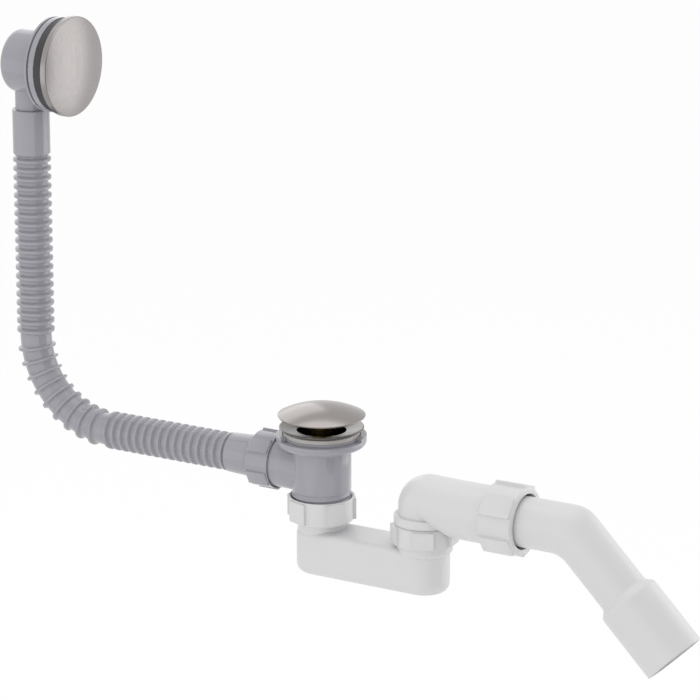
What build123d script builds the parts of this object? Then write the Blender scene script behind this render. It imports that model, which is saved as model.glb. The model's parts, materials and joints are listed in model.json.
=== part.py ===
"""Bath waste and overflow: click plug, corrugated overflow hose, low trap and swivelling outlet.

The origin is on the waste axis at the bath floor, +Z is up and the outlet leaves along +X.
Every axis lies in the plane Y = 0. Sizes are in millimetres, and the plug stands raised.
"""

import os
from math import cos, hypot, radians, sin, tan

from build123d import *

os.makedirs("parts", exist_ok=True)

# Clearances: a screwed thread, a joint that swivels, a sliding fit
thread_gap = 0.25
swivel_gap = 0.3
slide_gap = 0.2

# Turn of a square bend
quarter = 90.0

# Plug and click mechanism
plug_overhang = 1.0
plug_rise = 8.5
plug_edge = 1.2
plug_travel = 7.8
plug_recess = 1.0
plug_recess_edge = 2.5
plug_seal_radius = 23.5
plug_seal_bore = 20.5
plug_seal_height = 3.1
plug_seal_wall = 1.9
stem_radius = 4.1
stem_grip = 4.0
piston_radius = 6.2
piston_height = 3.0
piston_top = -6.0
cartridge_wall = 1.6
cartridge_top = 3.0
cartridge_floor = -21.0
cartridge_base = 3.0
shoulder_radius = 10.2
shoulder_height = 3.0
collar_height = 3.0
spring_radius = 4.9
spring_wire = 0.9
spring_wire_depth = 0.8
spring_turns = 3.5

# Metal flange with its sleeve, spokes and hub
flange_margin = 2.0
flange_rim = 3.4
flange_land = 0.6
flange_bead = 0.8
flange_taper = 3.4
drain_radius = 19.5
sleeve_wall = 1.9
sleeve_length = 24.0
spoke_count = 4
spoke_width = 3.0
hub_wall = 1.8
hub_top = -14.0
hub_height = 6.0
washer_margin = 0.5
washer_height = 3.5
gasket_height = 2.0

# Grey waste body
body_radius = 23.75
body_wall = 3.0
body_end = -66.0
cup_radius = 36.0
cup_wall = 5.0
cup_lip = -3.0
cup_side = -7.5
cup_round = 5.0
cup_foot = -14.0
window_turn = -59.5
window_span = 125.0
window_margin = 1.0
branch_z = -32.0
branch_radius = 20.7
branch_bore = 15.5
branch_end = -50.5

# Lugged nuts
lug_count = 5
hose_nut_grip = 12.5
hose_nut_length = 24.0
hose_nut_radius = 22.4
hose_nut_lug = 23.3
hose_nut_lug_width = 13.0
hose_nut_taper = 4.5
hose_nut_turn = 80.0
inlet_nut_top = -54.0
inlet_nut_length = 20.0
inlet_nut_radius = 25.8
inlet_nut_turn = -107.0
riser_nut_length = 16.5
riser_nut_radius = 24.6
riser_nut_turn = -64.0
riser_nut_lip = 1.8
outlet_nut_grip = 20.5
outlet_nut_length = 28.8
outlet_nut_radius = 26.8
outlet_nut_lug = 28.2
outlet_nut_mouth = 22.0
outlet_nut_turn = 71.4
nut_lug = 26.8
nut_lug_width = 17.5
riser_lug = 25.9
lug_setback = 1.0
nut_lead = 0.9
nut_lead_angle = 45.0
nut_taper = 1.4
seal_height = 2.4

# Corrugated hose and its cuffs
hose_x = -274.6
hose_bore = 11.4
hose_root = 12.9
hose_crest = 15.5
ridge_pitch = 7.6
ridge_top = 3.6
bend_pitch = 11.3
bend_rib_top = 1.8
bend_rib_foot = 3.6
rib_root = 0.6
bend_radius = 72.0
cuff_radius = 15.2
cuff_top = 229.0
cuff_end = 191.0
cuff_chamfer = 1.5
cuff_depth = 26.0
tail_cuff_start = -83.0
tail_cuff_radius = 16.0
tail_cuff_end_radius = 17.2
hose_collar_radius = 19.6
hose_collar_height = 3.0

# Overflow elbow, gasket, strainer and cover
overflow_z = 268.0
cup_bore = 22.7
elbow_cup_radius = 25.7
elbow_back = 12.9
elbow_rear_round = 5.0
elbow_floor = 3.0
elbow_flange_radius = 38.5
elbow_reach = 21.3
elbow_rib = 2.2
elbow_groove = 1.7
elbow_groove_depth = 2.5
elbow_ring = 5.0
spigot_radius = 12.6
spigot_bore = 10.2
spigot_end = 205.0
spigot_seal_z = 216.0
spigot_seal_height = 2.4
spigot_seal_depth = 1.3
overflow_gasket_radius = 38.0
overflow_gasket_bore = 24.0
overflow_gasket_height = 6.3
strainer_radius = 33.0
strainer_height = 2.5
strainer_hole = 6.0
strainer_ring = 19.0
strainer_holes = 6
boss_radius = 5.5
boss_gap = 3.0
screw_radius = 2.0
screw_length = 29.0
screw_head = 4.6
screw_head_height = 3.0
screw_slot = 1.2
screw_slot_depth = 1.4
cover_radius = 40.5
cover_skirt = 5.0
cover_rise = 5.5
cover_wall = 1.2
cover_gap = 1.8
cover_ring_radius = 31.0
cover_ring_wall = 2.0
cover_slots = 3
cover_slot_width = 24.0
cover_slot_depth = 6.0

# White trap
trap_radius = 20.0
trap_reach = 94.4
trap_top = -80.0
trap_bottom = -117.0
trap_wall = 3.0
trap_foot_round = 9.5
trap_top_round = 6.0
dip_wall = 3.0
dip_foot = -102.0
neck_radius = 19.2
neck_bore = 16.2
neck_collar_radius = 22.8
neck_collar_height = 2.4
riser_radius = 22.2
riser_bore = 16.4
riser_ledge = 3.0

# White outlet elbow
leg_radius = 19.8
leg_bore = 15.6
leg_depth = 8.2
elbow_radius = 21.0
elbow_z = -42.4
elbow_bend = 4.5
elbow_wall = 2.0
stop_radius = 24.5
stop_height = 6.8
nut_clearance = 1.0
pipe_radius = 20.0
outlet_z = -45.0
socket_wall = 2.7
elbow_run = 29.6
socket_land = 6.0
socket_length = 52.0

# White tail bend
pipe_wall = 2.2
pipe_gap = 2.0
pipe_length = 94.0
tail_angle = 45.0
tail_bend_radius = 6.0
tail_pipe_length = 62.0
tail_cone = 5.0
tail_end_radius = 25.0
tail_end_length = 57.0

# Levels that several pieces share
flange_radius = cup_radius - flange_margin
plug_radius = flange_radius + plug_overhang
plug_recess_radius = plug_radius - plug_recess_edge
washer_radius = cup_radius - cup_wall - washer_margin
plug_rim = flange_rim + swivel_gap + plug_travel
plug_seat = plug_rim + plug_recess
sleeve_radius = drain_radius + sleeve_wall
cup_floor = -washer_height - gasket_height
cartridge_bore = piston_radius + slide_gap
cartridge_radius = cartridge_bore + cartridge_wall
piston_foot = piston_top - piston_height
stop_foot = elbow_z - leg_bore - elbow_wall
riser_nut_top = stop_foot - swivel_gap
riser_end = riser_nut_top - riser_nut_lip - seal_height
leg_end = riser_end - leg_depth
hose_nut_face = branch_end + hose_nut_grip
elbow_rear = hose_x - elbow_back
elbow_flange_rear = hose_x + elbow_reach
gasket_rear = elbow_flange_rear + elbow_rib + elbow_groove + elbow_ring
gasket_front = gasket_rear + overflow_gasket_height
strainer_front = gasket_front + strainer_height
cover_rear = gasket_front + cover_gap
cover_rim = cover_rear + cover_skirt
boss_end = gasket_rear - boss_gap
bend_x = hose_x + bend_radius
bend_z = branch_z + bend_radius
socket_radius = pipe_radius + swivel_gap + socket_wall
socket_start = trap_reach + elbow_run
socket_floor = socket_start + socket_land
socket_end = socket_start + socket_length
outlet_nut_face = socket_end - outlet_nut_grip
pipe_start = socket_floor + pipe_gap
corner_x = pipe_start + pipe_length
overflow_axis = Axis((0, 0, overflow_z), (1, 0, 0))


def lugged_nut(seat, length, radius, thread, depth, mouth, lug_face, lug_width, turn, taper):
    """Union nut that grips from the seat plane along its normal: threaded bore, end lip, flat lugs."""
    with BuildPart() as nut:
        with BuildSketch(seat):
            Circle(radius)
        extrude(amount=length)
        end_face = nut.faces().sort_by(Axis(seat.origin, seat.z_dir))[-1]
        chamfer(end_face.edges(), taper)
        with BuildSketch(seat.offset(lug_setback)):
            with PolarLocations(lug_face / 2, lug_count, start_angle=turn):
                Rectangle(lug_face, lug_width)
        extrude(amount=length - lug_setback - taper)
        with BuildSketch(seat):
            Circle(mouth)
        extrude(amount=length, mode=Mode.SUBTRACT)
        with BuildSketch(seat):
            Circle(thread)
        extrude(amount=depth, mode=Mode.SUBTRACT)
        with BuildSketch(seat):
            Circle(thread + nut_lead)
        extrude(amount=nut_lead, taper=nut_lead_angle, mode=Mode.SUBTRACT)
    return nut


def bellows(start, end):
    """Outline of a straight bellows run as (position, radius) pairs, from one root to the last root."""
    count = round((end - start) / ridge_pitch)
    step = (end - start) / count
    flank = (step - ridge_top) / 2
    outline = [(start, hose_root)]
    for ridge in range(count):
        foot = start + ridge * step
        outline.append((foot + flank, hose_crest))
        outline.append((foot + flank + ridge_top, hose_crest))
        outline.append((foot + step, hose_root))
    return outline


def flat_ring(seat, outer, bore, height):
    """Ring of plain section that stands on the seat plane."""
    with BuildPart() as ring:
        with BuildSketch(seat):
            Circle(outer)
            Circle(bore, mode=Mode.SUBTRACT)
        extrude(amount=height)
    return ring


# Plug: a domed disc with a shallow recess below, a seat for its seal and a socket for the stem
plug_seal_seat = plug_seal_bore - slide_gap
with BuildPart() as plug_cap:
    with BuildSketch(Plane.XZ):
        with BuildLine():
            dome_edge = (plug_radius, plug_rim + plug_edge)
            dome_top = (0, plug_rim + plug_edge + plug_rise)
            RadiusArc(dome_edge, dome_top, -(plug_radius**2 + plug_rise**2) / (2 * plug_rise))
            Polyline(
                dome_top,
                (0, plug_seat + stem_grip),
                (stem_radius + slide_gap, plug_seat + stem_grip),
                (stem_radius + slide_gap, plug_seat),
                (plug_seal_seat - plug_seal_wall, plug_seat),
                (plug_seal_seat - plug_seal_wall, plug_seat - plug_recess),
                (plug_seal_seat, plug_seat - plug_recess),
                (plug_seal_seat, plug_seat),
                (plug_recess_radius, plug_seat),
                (plug_recess_radius + plug_recess, plug_rim),
                (plug_radius - plug_edge / 2, plug_rim),
                dome_edge,
            )
        make_face()
    revolve(axis=Axis.Z)
plug_cap.part.label = "plug_cap"
export_step(plug_cap.part, "parts/plug_cap.step")

# Seal under the plug, which closes on the flange's land
plug_seal_foot = Plane.XY.offset(plug_seat - plug_seal_height)
plug_seal = flat_ring(plug_seal_foot, plug_seal_radius, plug_seal_bore, plug_seal_height)
plug_seal.part.label = "plug_seal"
export_step(plug_seal.part, "parts/plug_seal.step")

# Stem with the piston that slides in the cartridge
with BuildPart() as plunger:
    with BuildSketch(Plane.XY.offset(piston_foot)):
        Circle(piston_radius)
    extrude(amount=piston_height)
    with BuildSketch(Plane.XY.offset(piston_top)):
        Circle(stem_radius)
    extrude(amount=plug_seat + stem_grip - piston_top)
plunger.part.label = "plunger"
export_step(plunger.part, "parts/plunger.step")

# Cam ring that locks the stem down and lets it go at the next press
latch_top = cartridge_top - collar_height - swivel_gap
latch_seat = Plane.XY.offset(piston_top)
latch_ring = flat_ring(latch_seat, piston_radius, stem_radius + slide_gap, latch_top - piston_top)
latch_ring.part.label = "latch_ring"
export_step(latch_ring.part, "parts/latch_ring.step")

# Cartridge housing: a cup with a shoulder that screws down on the hub
with BuildPart() as cartridge_body:
    with BuildSketch(Plane.XY.offset(cartridge_floor - cartridge_base)):
        Circle(cartridge_radius)
    extrude(amount=cartridge_top - cartridge_floor + cartridge_base)
    with BuildSketch(Plane.XY.offset(hub_top)):
        Circle(shoulder_radius)
    extrude(amount=shoulder_height)
    with BuildSketch(Plane.XY.offset(cartridge_floor)):
        Circle(cartridge_bore)
    extrude(amount=cartridge_top - cartridge_floor, mode=Mode.SUBTRACT)
cartridge_body.part.label = "cartridge_body"
export_step(cartridge_body.part, "parts/cartridge_body.step")

# Collar that closes the housing round the stem
collar_seat = Plane.XY.offset(cartridge_top - collar_height)
cartridge_collar = flat_ring(collar_seat, cartridge_bore, stem_radius + slide_gap, collar_height)
cartridge_collar.part.label = "cartridge_collar"
export_step(cartridge_collar.part, "parts/cartridge_collar.step")

# Coil spring of square wire between the housing's floor and the piston
spring_height = piston_foot - cartridge_floor - spring_wire
with BuildPart() as cartridge_spring:
    with BuildLine(Plane.XY.offset(cartridge_floor + spring_wire / 2)):
        coil = Helix(spring_height / spring_turns, spring_height, spring_radius)
    with BuildSketch(Plane(coil @ 0, x_dir=(1, 0, 0), z_dir=coil % 0)):
        Rectangle(spring_wire, spring_wire_depth)
    sweep(path=coil, is_frenet=True)
cartridge_spring.part.label = "cartridge_spring"
export_step(cartridge_spring.part, "parts/cartridge_spring.step")

# Metal flange: dished rim, threaded sleeve, and spokes that carry the hub
hub_bore = cartridge_radius + thread_gap
hub_radius = hub_bore + hub_wall
with BuildPart() as waste_flange:
    with BuildSketch(Plane.XZ):
        with BuildLine():
            Polyline(
                (drain_radius, flange_land),
                (drain_radius, -sleeve_length),
                (sleeve_radius, -sleeve_length),
                (sleeve_radius, 0),
                (flange_radius - flange_taper, 0),
                (flange_radius, flange_rim - flange_bead),
                (flange_radius - flange_bead, flange_rim),
                close=True,
            )
        make_face()
    revolve(axis=Axis.Z)
    with BuildSketch(Plane.XY.offset(hub_top)):
        Circle(hub_radius)
        spoke_length = drain_radius + sleeve_wall / 2
        with PolarLocations(spoke_length / 2, spoke_count):
            Rectangle(spoke_length, spoke_width)
        Circle(hub_bore, mode=Mode.SUBTRACT)
    extrude(amount=-hub_height)
waste_flange.part.label = "waste_flange"
export_step(waste_flange.part, "parts/waste_flange.step")

# Washer and gasket round the sleeve, clamped with the bath floor
sleeve_clear = sleeve_radius + thread_gap
washer_seat = Plane.XY.offset(-washer_height)
flange_washer = flat_ring(washer_seat, washer_radius, sleeve_clear, washer_height)
flange_washer.part.label = "flange_washer"
export_step(flange_washer.part, "parts/flange_washer.step")
gasket_radius = cup_radius - cup_wall - slide_gap
floor_gasket = flat_ring(Plane.XY.offset(cup_floor), gasket_radius, sleeve_clear, gasket_height)
floor_gasket.part.label = "floor_gasket"
export_step(floor_gasket.part, "parts/floor_gasket.step")

# Grey body: gasket cup with a window in its lip, threaded barrel and the side branch for the hose
barrel_bore = body_radius - body_wall
pocket_floor = -sleeve_length - slide_gap
branch_plane = Plane((0, 0, branch_z), x_dir=(0, 1, 0), z_dir=(-1, 0, 0))
window_reach = (cup_radius + window_margin) / cos(radians(window_span / 2))
with BuildPart() as waste_body:
    with BuildSketch(Plane.XZ):
        with BuildLine():
            Polyline(
                (0, cup_floor),
                (cup_radius - cup_wall, cup_floor),
                (cup_radius - cup_wall, cup_lip),
                (cup_radius, cup_lip),
                (cup_radius, cup_side),
            )
            bowl = TangentArc(
                (cup_radius, cup_side), (cup_radius - cup_round, cup_side - cup_round), tangent=(0, -1)
            )
            Polyline(
                bowl @ 1,
                (body_radius, cup_foot),
                (body_radius, body_end),
                (0, body_end),
                (0, cup_floor),
            )
        make_face()
    revolve(axis=Axis.Z)
    with BuildSketch(branch_plane):
        Circle(branch_radius)
    extrude(amount=-branch_end)
    with BuildSketch(Plane.XY.offset(body_end)):
        Circle(barrel_bore)
    extrude(amount=cup_floor - body_end, mode=Mode.SUBTRACT)
    with BuildSketch(Plane.XY.offset(pocket_floor)):
        Circle(sleeve_clear)
    extrude(amount=cup_floor - pocket_floor, mode=Mode.SUBTRACT)
    with BuildSketch(branch_plane):
        Circle(branch_bore)
    extrude(amount=-branch_end, mode=Mode.SUBTRACT)
    with BuildSketch(Plane.XY.offset(cup_floor)):
        with BuildLine():
            near_side = PolarLine((0, 0), window_reach, window_turn - window_span / 2)
            far_side = PolarLine((0, 0), window_reach, window_turn + window_span / 2)
            Line(near_side @ 1, far_side @ 1)
        make_face()
    extrude(amount=cup_lip - cup_floor, mode=Mode.SUBTRACT)
waste_body.part.label = "waste_body"
export_step(waste_body.part, "parts/waste_body.step")

# Hose: bellows down to the bend, wider spaced ribs round it, bellows along to the tapered cuff
collar_front = branch_end - seal_height
collar_rear = collar_front - hose_collar_height
bend_count = round(radians(quarter) * bend_radius / bend_pitch)
hose_axis_z = Axis((hose_x, 0, bend_z), (0, 0, 1))
hose_axis_x = Axis((bend_x, 0, branch_z), (1, 0, 0))
with BuildPart() as overflow_hose:
    with BuildSketch(Plane.XZ):
        with BuildLine():
            Polyline(
                (hose_x, bend_z),
                *[(hose_x + radius, z) for z, radius in bellows(bend_z, cuff_end)],
                (hose_x + cuff_radius - cuff_chamfer, cuff_end),
                (hose_x + cuff_radius, cuff_end + cuff_chamfer),
                (hose_x + cuff_radius, cuff_top),
                (hose_x, cuff_top),
                close=True,
            )
        make_face()
    revolve(axis=hose_axis_z)
    with BuildSketch(Plane.XZ):
        with BuildLine():
            Polyline(
                (bend_x, branch_z),
                *[(x, branch_z + radius) for x, radius in bellows(bend_x, tail_cuff_start)],
                (tail_cuff_start, branch_z + tail_cuff_radius),
                (collar_rear, branch_z + tail_cuff_end_radius),
                (collar_rear, branch_z + hose_collar_radius),
                (collar_front, branch_z + hose_collar_radius),
                (collar_front, branch_z),
                close=True,
            )
        make_face()
    revolve(axis=hose_axis_x)
    with BuildSketch(Plane((hose_x, 0, bend_z))):
        Circle(hose_root)
    revolve(axis=Axis((bend_x, 0, bend_z), (0, -1, 0)), revolution_arc=quarter)
    for rib in range(1, bend_count):
        turn = radians(quarter) * rib / bend_count
        middle = (bend_x - bend_radius * cos(turn), 0, bend_z - bend_radius * sin(turn))
        along = (sin(turn), 0, -cos(turn))
        with BuildSketch(Plane(middle, x_dir=along, z_dir=(0, 1, 0))):
            with BuildLine():
                Polyline(
                    (-bend_rib_foot / 2, hose_root - rib_root),
                    (-bend_rib_top / 2, hose_crest),
                    (bend_rib_top / 2, hose_crest),
                    (bend_rib_foot / 2, hose_root - rib_root),
                    close=True,
                )
            make_face()
        revolve(axis=Axis(middle, along))
    with BuildSketch(Plane((hose_x, 0, bend_z))):
        Circle(hose_bore)
    extrude(amount=cuff_top - bend_z, mode=Mode.SUBTRACT)
    with BuildSketch(Plane((hose_x, 0, bend_z))):
        Circle(hose_bore)
    revolve(axis=Axis((bend_x, 0, bend_z), (0, -1, 0)), revolution_arc=quarter, mode=Mode.SUBTRACT)
    with BuildSketch(Plane((bend_x, 0, branch_z), x_dir=(0, 1, 0), z_dir=(1, 0, 0))):
        Circle(hose_bore)
    extrude(amount=collar_front - bend_x, mode=Mode.SUBTRACT)
    with BuildSketch(Plane((hose_x, 0, cuff_top - cuff_depth))):
        Circle(spigot_radius + slide_gap)
    extrude(amount=cuff_depth, mode=Mode.SUBTRACT)
overflow_hose.part.label = "overflow_hose"
export_step(overflow_hose.part, "parts/overflow_hose.step")

# Seal and nut that hold the hose's collar on the side branch
hose_seal_seat = Plane((branch_end, 0, branch_z), x_dir=(0, 1, 0), z_dir=(-1, 0, 0))
hose_seal = flat_ring(hose_seal_seat, hose_collar_radius, branch_bore, seal_height)
hose_seal.part.label = "hose_seal"
export_step(hose_seal.part, "parts/hose_seal.step")
hose_nut = lugged_nut(
    seat=Plane((hose_nut_face, 0, branch_z), x_dir=(0, 1, 0), z_dir=(-1, 0, 0)),
    length=hose_nut_length,
    radius=hose_nut_radius,
    thread=branch_radius + thread_gap,
    depth=hose_nut_face - collar_rear,
    mouth=tail_cuff_end_radius + slide_gap,
    lug_face=hose_nut_lug,
    lug_width=hose_nut_lug_width,
    turn=hose_nut_turn,
    taper=hose_nut_taper,
)
hose_nut.part.label = "hose_nut"
export_step(hose_nut.part, "parts/hose_nut.step")

# Overflow elbow: closed cup with a ribbed flange, a boss for the screw and a spigot for the hose
with BuildPart() as overflow_elbow:
    with BuildSketch(Plane.XZ):
        with BuildLine():
            rear_corner = (elbow_rear, overflow_z + elbow_cup_radius - elbow_rear_round)
            rear_top = (elbow_rear + elbow_rear_round, overflow_z + elbow_cup_radius)
            Polyline((gasket_rear, overflow_z), (elbow_rear, overflow_z), rear_corner)
            TangentArc(rear_corner, rear_top, tangent=(0, 1))
            Polyline(
                rear_top,
                (elbow_flange_rear, overflow_z + elbow_cup_radius),
                (elbow_flange_rear, overflow_z + elbow_flange_radius),
                (elbow_flange_rear + elbow_rib, overflow_z + elbow_flange_radius),
                (elbow_flange_rear + elbow_rib, overflow_z + elbow_flange_radius - elbow_groove_depth),
                (gasket_rear - elbow_ring, overflow_z + elbow_flange_radius - elbow_groove_depth),
                (gasket_rear - elbow_ring, overflow_z + elbow_flange_radius),
                (gasket_rear, overflow_z + elbow_flange_radius),
                (gasket_rear, overflow_z),
            )
        make_face()
    revolve(axis=overflow_axis)
    with BuildSketch(Plane((hose_x, 0, spigot_end))):
        Circle(spigot_radius)
    extrude(amount=overflow_z - spigot_end)
    with BuildSketch(Plane.XZ):
        with BuildLine():
            Polyline(
                (elbow_rear + elbow_floor, overflow_z + boss_radius),
                (elbow_rear + elbow_floor, overflow_z + cup_bore),
                (gasket_rear, overflow_z + cup_bore),
                (gasket_rear, overflow_z),
                (boss_end, overflow_z),
                (boss_end, overflow_z + boss_radius),
                close=True,
            )
        make_face()
    revolve(axis=overflow_axis, mode=Mode.SUBTRACT)
    with BuildSketch(Plane((hose_x, 0, spigot_end))):
        Circle(spigot_bore)
    extrude(amount=overflow_z - cup_bore / 2 - spigot_end, mode=Mode.SUBTRACT)
    with BuildSketch(Plane((hose_x, 0, spigot_seal_z))):
        Circle(spigot_radius + spigot_seal_depth)
        Circle(spigot_radius - spigot_seal_depth, mode=Mode.SUBTRACT)
    extrude(amount=spigot_seal_height, mode=Mode.SUBTRACT)
    with BuildSketch(Plane((strainer_front, 0, overflow_z), x_dir=(0, 1, 0), z_dir=(-1, 0, 0))):
        Circle(screw_radius + slide_gap)
    extrude(amount=screw_length + slide_gap, mode=Mode.SUBTRACT)
overflow_elbow.part.label = "overflow_elbow"
export_step(overflow_elbow.part, "parts/overflow_elbow.step")

# Seal in the spigot's groove
spigot_seal_seat = Plane((hose_x, 0, spigot_seal_z))
spigot_seal_outer = spigot_radius + slide_gap / 2
spigot_seal_bore = spigot_radius - spigot_seal_depth
spigot_seal = flat_ring(spigot_seal_seat, spigot_seal_outer, spigot_seal_bore, spigot_seal_height)
spigot_seal.part.label = "spigot_seal"
export_step(spigot_seal.part, "parts/spigot_seal.step")

# Thick rubber gasket on the elbow's flange
gasket_seat = Plane((gasket_rear, 0, overflow_z), x_dir=(0, 1, 0), z_dir=(1, 0, 0))
overflow_gasket = flat_ring(
    gasket_seat, overflow_gasket_radius, overflow_gasket_bore, overflow_gasket_height
)
overflow_gasket.part.label = "overflow_gasket"
export_step(overflow_gasket.part, "parts/overflow_gasket.step")

# Strainer plate that clamps the gasket, with a ring of water holes round the screw
with BuildPart() as overflow_strainer:
    with BuildSketch(Plane((gasket_front, 0, overflow_z), x_dir=(0, 1, 0), z_dir=(1, 0, 0))):
        Circle(strainer_radius)
        Circle(screw_radius + slide_gap, mode=Mode.SUBTRACT)
        with PolarLocations(strainer_ring, strainer_holes):
            Circle(strainer_hole, mode=Mode.SUBTRACT)
    extrude(amount=strainer_height)
overflow_strainer.part.label = "overflow_strainer"
export_step(overflow_strainer.part, "parts/overflow_strainer.step")

# Screw from the strainer into the elbow's boss, with a slotted head
with BuildPart() as overflow_screw:
    with BuildSketch(Plane((strainer_front, 0, overflow_z), x_dir=(0, 1, 0), z_dir=(-1, 0, 0))):
        Circle(screw_radius)
    extrude(amount=screw_length)
    with BuildSketch(Plane((strainer_front, 0, overflow_z), x_dir=(0, 1, 0), z_dir=(1, 0, 0))):
        Circle(screw_head)
    extrude(amount=screw_head_height)
    slot_floor = strainer_front + screw_head_height - screw_slot_depth
    with BuildSketch(Plane((slot_floor, 0, overflow_z), x_dir=(0, 1, 0), z_dir=(1, 0, 0))):
        Rectangle(2 * screw_head, screw_slot)
    extrude(amount=screw_slot_depth, mode=Mode.SUBTRACT)
overflow_screw.part.label = "overflow_screw"
export_step(overflow_screw.part, "parts/overflow_screw.step")

# Cover: shallow dome with a skirt, and an inner ring that seats on the strainer, slotted for the water
inner_radius = cover_radius - cover_wall
inner_rise = cover_rise - cover_wall
with BuildPart() as overflow_cap:
    with BuildSketch(Plane.XZ):
        with BuildLine():
            cover_edge = (cover_rim, overflow_z + cover_radius)
            cover_top = (cover_rim + cover_rise, overflow_z)
            RadiusArc(cover_edge, cover_top, (cover_radius**2 + cover_rise**2) / (2 * cover_rise))
            Polyline(cover_top, (cover_rear, overflow_z), (cover_rear, overflow_z + cover_radius), cover_edge)
        make_face()
    revolve(axis=overflow_axis)
    with BuildSketch(Plane.XZ):
        with BuildLine():
            inner_edge = (cover_rim, overflow_z + inner_radius)
            inner_top = (cover_rim + inner_rise, overflow_z)
            RadiusArc(inner_edge, inner_top, (inner_radius**2 + inner_rise**2) / (2 * inner_rise))
            Polyline(inner_top, (cover_rear, overflow_z), (cover_rear, overflow_z + inner_radius), inner_edge)
        make_face()
        with Locations((cover_rim, overflow_z + cover_ring_radius - cover_ring_wall / 2)):
            Rectangle(2 * (cover_rim - strainer_front), cover_ring_wall, mode=Mode.SUBTRACT)
    revolve(axis=overflow_axis, mode=Mode.SUBTRACT)
    with BuildSketch(Plane((strainer_front, 0, overflow_z), x_dir=(0, 0, 1), z_dir=(1, 0, 0))):
        with PolarLocations(cover_ring_radius, cover_slots):
            Rectangle(cover_slot_depth, cover_slot_width)
    extrude(amount=cover_rim - strainer_front, mode=Mode.SUBTRACT)
overflow_cap.part.label = "overflow_cap"
export_step(overflow_cap.part, "parts/overflow_cap.step")

# Flat seal between the grey body and the trap's neck
inlet_seal_foot = body_end - seal_height
inlet_seal = flat_ring(Plane.XY.offset(inlet_seal_foot), neck_collar_radius, barrel_bore, seal_height)
inlet_seal.part.label = "inlet_seal"
export_step(inlet_seal.part, "parts/inlet_seal.step")

# Nut that holds the trap's neck to the grey body
collar_top = inlet_seal_foot - swivel_gap
collar_foot = collar_top - neck_collar_height
inlet_nut = lugged_nut(
    seat=Plane((0, 0, inlet_nut_top), x_dir=(1, 0, 0), z_dir=(0, 0, -1)),
    length=inlet_nut_length,
    radius=inlet_nut_radius,
    thread=body_radius + thread_gap,
    depth=inlet_nut_top - collar_foot + swivel_gap,
    mouth=neck_radius + swivel_gap,
    lug_face=nut_lug,
    lug_width=nut_lug_width,
    turn=-inlet_nut_turn,
    taper=nut_taper,
)
inlet_nut.part.label = "inlet_nut"
export_step(inlet_nut.part, "parts/inlet_nut.step")

# Trap: a hollow rounded trough with a dip wall, a collared neck and a threaded riser
with BuildPart() as trap_water:
    with BuildSketch(Plane.XY.offset(trap_bottom + trap_wall)):
        with Locations((trap_reach / 2, 0)):
            SlotCenterToCenter(trap_reach, 2 * (trap_radius - trap_wall))
    extrude(amount=trap_top - trap_bottom - 2 * trap_wall)
    fillet(trap_water.faces().sort_by(Axis.Z)[0].edges(), trap_foot_round - trap_wall)
    with BuildSketch(Plane((trap_reach / 2, 0, dip_foot))):
        Rectangle(dip_wall, 2 * trap_radius)
    extrude(amount=trap_top - dip_foot, mode=Mode.SUBTRACT)
    with BuildSketch(Plane.XY.offset(trap_top - 2 * trap_wall)):
        Circle(neck_bore)
    extrude(amount=collar_top - trap_top + 2 * trap_wall)
    with BuildSketch(Plane((trap_reach, 0, trap_top - 2 * trap_wall))):
        Circle(riser_bore)
    extrude(amount=riser_end - trap_top + 2 * trap_wall)
    with BuildSketch(Plane((trap_reach, 0, leg_end - swivel_gap))):
        Circle(leg_radius + swivel_gap)
    extrude(amount=riser_end - leg_end + swivel_gap)
with BuildPart() as trap_body:
    with BuildSketch(Plane.XY.offset(trap_bottom)):
        with Locations((trap_reach / 2, 0)):
            SlotCenterToCenter(trap_reach, 2 * trap_radius)
    extrude(amount=trap_top - trap_bottom)
    fillet(trap_body.faces().sort_by(Axis.Z)[0].edges(), trap_foot_round)
    fillet(trap_body.faces().sort_by(Axis.Z)[-1].edges(), trap_top_round)
    with BuildSketch(Plane.XY.offset(trap_top - trap_top_round)):
        Circle(neck_radius)
    extrude(amount=collar_top - trap_top + trap_top_round)
    with BuildSketch(Plane.XY.offset(collar_foot)):
        Circle(neck_collar_radius)
    extrude(amount=neck_collar_height)
    riser_root = trap_top - trap_top_round
    with BuildSketch(Plane.XZ):
        with BuildLine():
            Polyline(
                (trap_reach, riser_root),
                (trap_reach + neck_radius, riser_root),
                (trap_reach + riser_radius, riser_root + riser_ledge),
                (trap_reach + riser_radius, riser_end),
                (trap_reach, riser_end),
                close=True,
            )
        make_face()
    revolve(axis=Axis((trap_reach, 0, 0), (0, 0, 1)))
    add(trap_water.part, mode=Mode.SUBTRACT)
trap_body.part.label = "trap_body"
export_step(trap_body.part, "parts/trap_body.step")

# Seal and nut round the elbow's leg in the riser
riser_nut_foot = riser_nut_top - riser_nut_length
riser_lip = riser_end + seal_height
riser_seal = flat_ring(
    Plane((trap_reach, 0, riser_end)), riser_radius, leg_radius + swivel_gap, seal_height
)
riser_seal.part.label = "riser_seal"
export_step(riser_seal.part, "parts/riser_seal.step")
riser_nut = lugged_nut(
    seat=Plane((trap_reach, 0, riser_nut_foot)),
    length=riser_nut_length,
    radius=riser_nut_radius,
    thread=riser_radius + thread_gap,
    depth=riser_lip - riser_nut_foot,
    mouth=leg_radius + swivel_gap,
    lug_face=riser_lug,
    lug_width=nut_lug_width,
    turn=riser_nut_turn,
    taper=nut_taper,
)
riser_nut.part.label = "riser_nut"
export_step(riser_nut.part, "parts/riser_nut.step")

# Outlet elbow: a leg that turns in the riser, a tight bend cut flat above the nut, a tapered run and a socket
leg_top = elbow_z - elbow_bend
run_start = trap_reach + elbow_bend
run_plane = Plane((run_start, 0, elbow_z), x_dir=(0, 1, 0), z_dir=(1, 0, 0))
socket_plane = Plane((socket_start, 0, outlet_z), x_dir=(0, 1, 0), z_dir=(1, 0, 0))
nut_sweep = hypot(riser_lug, nut_lug_width / 2) + nut_clearance


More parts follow.
